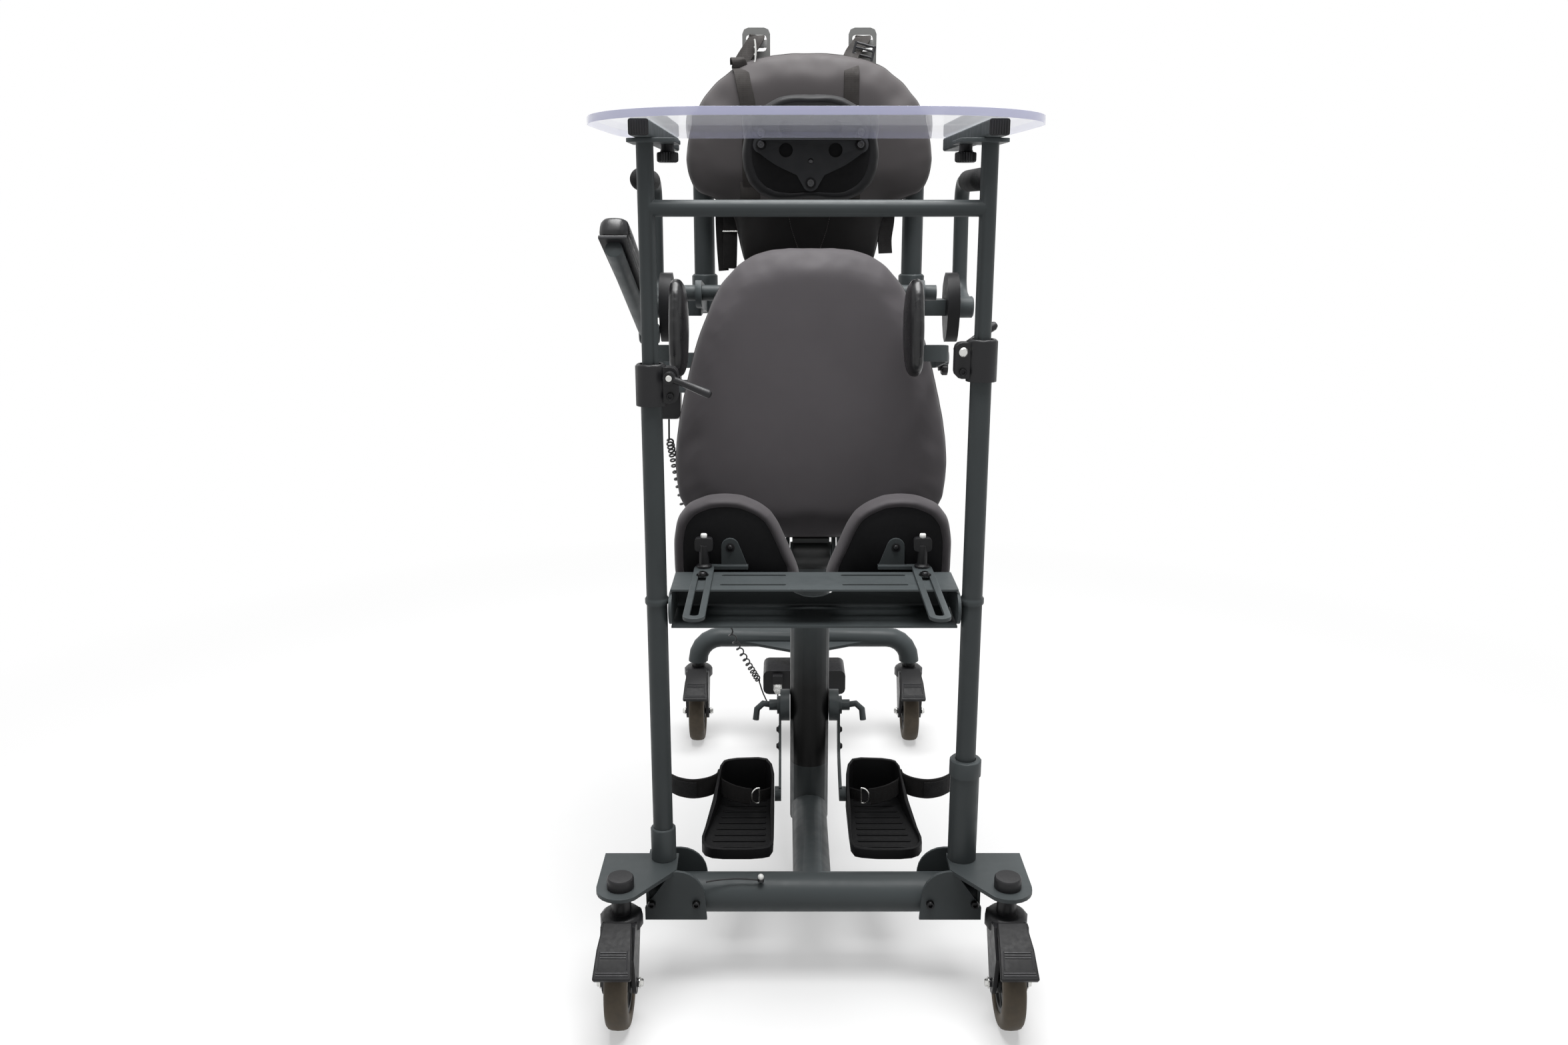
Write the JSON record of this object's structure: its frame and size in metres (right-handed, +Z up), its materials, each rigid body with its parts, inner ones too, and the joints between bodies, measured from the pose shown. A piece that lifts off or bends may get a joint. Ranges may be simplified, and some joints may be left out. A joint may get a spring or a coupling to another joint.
{
  "type": "standing frame",
  "caption": "Powered sit-to-stand standing frame on casters with a padded seat and back, knee, hip and chest pads, footplates, a swinging front gate and a clear tray.",
  "frame": {"origin": "on the floor, under the middle of the bounding box", "axes": "+Z up; -Y towards the side of the gate and tray; +X to the right of someone who looks at the gate"},
  "size_m": [0.608, 1.09, 1.395],
  "materials": {
    "frame_paint": "dark green-grey powder coat",
    "black_plastic": "black moulded plastic",
    "upholstery": "charcoal coated upholstery fabric",
    "tyre": "grey-brown caster tread",
    "foam": "black foam grip",
    "rod_steel": "ground steel rod",
    "clear_sheet": "clear acrylic with polished edges",
    "webbing": "black woven webbing",
    "cord_jacket": "black curly cord jacket"
  },
  "bodies": {
    "base": {"base_frame": "frame_paint", "left_corner_bracket": "frame_paint", "right_corner_bracket": "frame_paint", "control_box": "black_plastic", "handset_cord": "cord_jacket", "actuator_body": "black_plastic"},
    "seat": {"seat_frame": "frame_paint", "seat_pad": "upholstery", "handset": "black_plastic"},
    "back": {"back_frame": "frame_paint", "back_pad": "upholstery"},
    "link": {"levelling_link": "frame_paint"},
    "rod": {"actuator_rod": "rod_steel"},
    "gate": {"left_upright": "frame_paint", "right_upright": "frame_paint", "knee_beam": "frame_paint", "left_clamp": "black_plastic", "right_clamp": "black_plastic"},
    "tray_stand": {"tray_frame": "frame_paint"},
    "tray": {"tray_panel": "clear_sheet", "left_tray_rail": "frame_paint", "right_tray_rail": "frame_paint", "chest_bracket": "frame_paint", "chest_pad": "upholstery"},
    "left_tray_knob": {"left_tray_knob": "black_plastic"},
    "right_tray_knob": {"right_tray_knob": "black_plastic"},
    "left_clamp_lever": {"left_clamp_lever": "black_plastic"},
    "right_clamp_lever": {"right_clamp_lever": "black_plastic"},
    "left_knee_rest": {"left_knee_bar": "frame_paint", "left_knee_pad": "upholstery"},
    "left_knee_knob": {"left_knee_knob": "black_plastic"},
    "left_foot_arm": {"left_foot_arm": "frame_paint"},
    "left_foot": {"left_footplate": "black_plastic", "left_foot_strap": "webbing"},
    "left_hip": {"left_hip_bracket": "frame_paint", "left_hip_pad": "upholstery"},
    "left_arm": {"left_arm": "foam"},
    "right_knee_rest": {"right_knee_bar": "frame_paint", "right_knee_pad": "upholstery"},
    "right_knee_knob": {"right_knee_knob": "black_plastic"},
    "right_foot_arm": {"right_foot_arm": "frame_paint"},
    "right_foot": {"right_footplate": "black_plastic", "right_foot_strap": "webbing"},
    "right_hip": {"right_hip_bracket": "frame_paint", "right_hip_pad": "upholstery"},
    "right_arm": {"right_arm": "foam"},
    "left_armrest": {"left_armrest": "upholstery"},
    "front_left_fork": {"front_left_fork": "black_plastic"},
    "front_left_wheel": {"front_left_wheel": "tyre"},
    "front_left_pedal": {"front_left_pedal": "black_plastic"},
    "front_right_fork": {"front_right_fork": "black_plastic"},
    "front_right_wheel": {"front_right_wheel": "tyre"},
    "front_right_pedal": {"front_right_pedal": "black_plastic"},
    "rear_left_fork": {"rear_left_fork": "black_plastic"},
    "rear_left_wheel": {"rear_left_wheel": "tyre"},
    "rear_left_pedal": {"rear_left_pedal": "black_plastic"},
    "rear_right_fork": {"rear_right_fork": "black_plastic"},
    "rear_right_wheel": {"rear_right_wheel": "tyre"},
    "rear_right_pedal": {"rear_right_pedal": "black_plastic"}
  },
  "joints": [
    {"name": "seat_lift", "type": "hinge", "parent": "base", "child": "seat", "pos_m": [0, -0.1, 0.577], "axis": [1, 0, 0], "range_deg": [-68, 0], "deforming": ["handset_cord"]},
    {"name": "back_level", "type": "hinge", "parent": "seat", "child": "back", "pos_m": [0, 0.06358, 0.97306], "axis": [1, 0, 0], "range_deg": [0, 68]},
    {"name": "link_swing", "type": "hinge", "parent": "base", "child": "link", "pos_m": [0.0475, -0.04, 0.547], "axis": [1, 0, 0], "range_deg": [-68, 0]},
    {"name": "actuator_stroke", "type": "slide", "parent": "base", "child": "rod", "axis": [0, -0.5058, 0.8627], "range_m": [-0.231, 0]},
    {"name": "gate_swing", "type": "hinge", "parent": "base", "child": "gate", "pos_m": [0.217, -0.35, 0.3], "axis": [0, 0, 1], "range_deg": [0, 100]},
    {"name": "tray_height", "type": "slide", "parent": "gate", "child": "tray_stand", "axis": [0, 0, 1], "range_m": [-0.03, 0.12]},
    {"name": "tray_reach", "type": "slide", "parent": "tray_stand", "child": "tray", "axis": [0, 1, 0], "range_m": [-0.12, 0.015]},
    {"name": "left_tray_knob_turn", "type": "hinge", "parent": "tray_stand", "child": "left_tray_knob", "pos_m": [-0.192, -0.31, 1.186], "axis": [0, 0, 1], "continuous": true},
    {"name": "right_tray_knob_turn", "type": "hinge", "parent": "tray_stand", "child": "right_tray_knob", "pos_m": [0.192, -0.31, 1.186], "axis": [0, 0, 1], "continuous": true},
    {"name": "left_clamp_turn", "type": "hinge", "parent": "gate", "child": "left_clamp_lever", "pos_m": [-0.191, -0.3616, 0.894], "axis": [0, 1, 0], "range_deg": [-60, 60]},
    {"name": "right_clamp_turn", "type": "hinge", "parent": "gate", "child": "right_clamp_lever", "pos_m": [0.191, -0.3384, 0.926], "axis": [0, 1, 0], "range_deg": [-50, 0]},
    {"name": "left_knee_reach", "type": "slide", "parent": "gate", "child": "left_knee_rest", "axis": [0, 1, 0], "range_m": [-0.01, 0.025]},
    {"name": "left_knee_knob_turn", "type": "hinge", "parent": "left_knee_rest", "child": "left_knee_knob", "pos_m": [-0.157, -0.262, 0.6056], "axis": [0, 0, 1], "continuous": true},
    {"name": "left_foot_swing", "type": "hinge", "parent": "base", "child": "left_foot_arm", "pos_m": [-0.0465, -0.07, 0.31], "axis": [1, 0, 0], "range_deg": [-12, 12]},
    {"name": "left_foot_tilt", "type": "hinge", "parent": "left_foot_arm", "child": "left_foot", "pos_m": [-0.0575, -0.165, 0.197], "axis": [1, 0, 0], "range_deg": [-8, 8]},
    {"name": "left_hip_reach", "type": "slide", "parent": "seat", "child": "left_hip", "axis": [1, 0, 0], "range_m": [0, 0.03]},
    {"name": "left_arm_swing", "type": "hinge", "parent": "back", "child": "left_arm", "pos_m": [-0.264, 0.13, 0.945], "axis": [1, 0, 0], "range_deg": [-90, 0]},
    {"name": "right_knee_reach", "type": "slide", "parent": "gate", "child": "right_knee_rest", "axis": [0, 1, 0], "range_m": [-0.01, 0.025]},
    {"name": "right_knee_knob_turn", "type": "hinge", "parent": "right_knee_rest", "child": "right_knee_knob", "pos_m": [0.157, -0.262, 0.6056], "axis": [0, 0, 1], "continuous": true},
    {"name": "right_foot_swing", "type": "hinge", "parent": "base", "child": "right_foot_arm", "pos_m": [0.0465, -0.07, 0.31], "axis": [1, 0, 0], "range_deg": [-12, 12]},
    {"name": "right_foot_tilt", "type": "hinge", "parent": "right_foot_arm", "child": "right_foot", "pos_m": [0.0575, -0.165, 0.197], "axis": [1, 0, 0], "range_deg": [-8, 8]},
    {"name": "right_hip_reach", "type": "slide", "parent": "seat", "child": "right_hip", "axis": [1, 0, 0], "range_m": [0, 0.03]},
    {"name": "right_arm_swing", "type": "hinge", "parent": "back", "child": "right_arm", "pos_m": [0.264, 0.13, 0.945], "axis": [1, 0, 0], "range_deg": [-90, 0]},
    {"name": "left_armrest_tilt", "type": "hinge", "parent": "back", "child": "left_armrest", "pos_m": [-0.2486, 0.085, 0.905], "axis": [1, 0, 0], "range_deg": [-10, 28]},
    {"name": "front_left_swivel", "type": "hinge", "parent": "base", "child": "front_left_fork", "pos_m": [-0.27, -0.43, 0.152], "axis": [0, 0, 1], "range_deg": [-170, 90]},
    {"name": "front_left_roll", "type": "hinge", "parent": "front_left_fork", "child": "front_left_wheel", "pos_m": [-0.27, -0.466, 0.0625], "axis": [1, 0, 0], "continuous": true},
    {"name": "front_left_brake", "type": "hinge", "parent": "front_left_fork", "child": "front_left_pedal", "pos_m": [-0.27, -0.47, 0.156], "axis": [1, 0, 0], "range_deg": [0, 10]},
    {"name": "front_right_swivel", "type": "hinge", "parent": "base", "child": "front_right_fork", "pos_m": [0.27, -0.43, 0.152], "axis": [0, 0, 1], "range_deg": [-90, 170]},
    {"name": "front_right_roll", "type": "hinge", "parent": "front_right_fork", "child": "front_right_wheel", "pos_m": [0.27, -0.466, 0.0625], "axis": [1, 0, 0], "continuous": true},
    {"name": "front_right_brake", "type": "hinge", "parent": "front_right_fork", "child": "front_right_pedal", "pos_m": [0.27, -0.47, 0.156], "axis": [1, 0, 0], "range_deg": [0, 10]},
    {"name": "rear_left_swivel", "type": "hinge", "parent": "base", "child": "rear_left_fork", "pos_m": [-0.226, 0.515, 0.152], "axis": [0, 0, 1], "continuous": true},
    {"name": "rear_left_roll", "type": "hinge", "parent": "rear_left_fork", "child": "rear_left_wheel", "pos_m": [-0.226, 0.479, 0.0625], "axis": [1, 0, 0], "continuous": true},
    {"name": "rear_left_brake", "type": "hinge", "parent": "rear_left_fork", "child": "rear_left_pedal", "pos_m": [-0.226, 0.475, 0.156], "axis": [1, 0, 0], "range_deg": [0, 10]},
    {"name": "rear_right_swivel", "type": "hinge", "parent": "base", "child": "rear_right_fork", "pos_m": [0.226, 0.515, 0.152], "axis": [0, 0, 1], "continuous": true},
    {"name": "rear_right_roll", "type": "hinge", "parent": "rear_right_fork", "child": "rear_right_wheel", "pos_m": [0.226, 0.479, 0.0625], "axis": [1, 0, 0], "continuous": true},
    {"name": "rear_right_brake", "type": "hinge", "parent": "rear_right_fork", "child": "rear_right_pedal", "pos_m": [0.226, 0.475, 0.156], "axis": [1, 0, 0], "range_deg": [0, 10]}
  ],
  "couplings": [
    {"joint": "back_level", "follows": "seat_lift", "ratio": -1},
    {"joint": "link_swing", "follows": "seat_lift", "ratio": 1},
    {"joint": "actuator_stroke", "follows": "seat_lift", "m_per_rad": 0.19427}
  ]
}
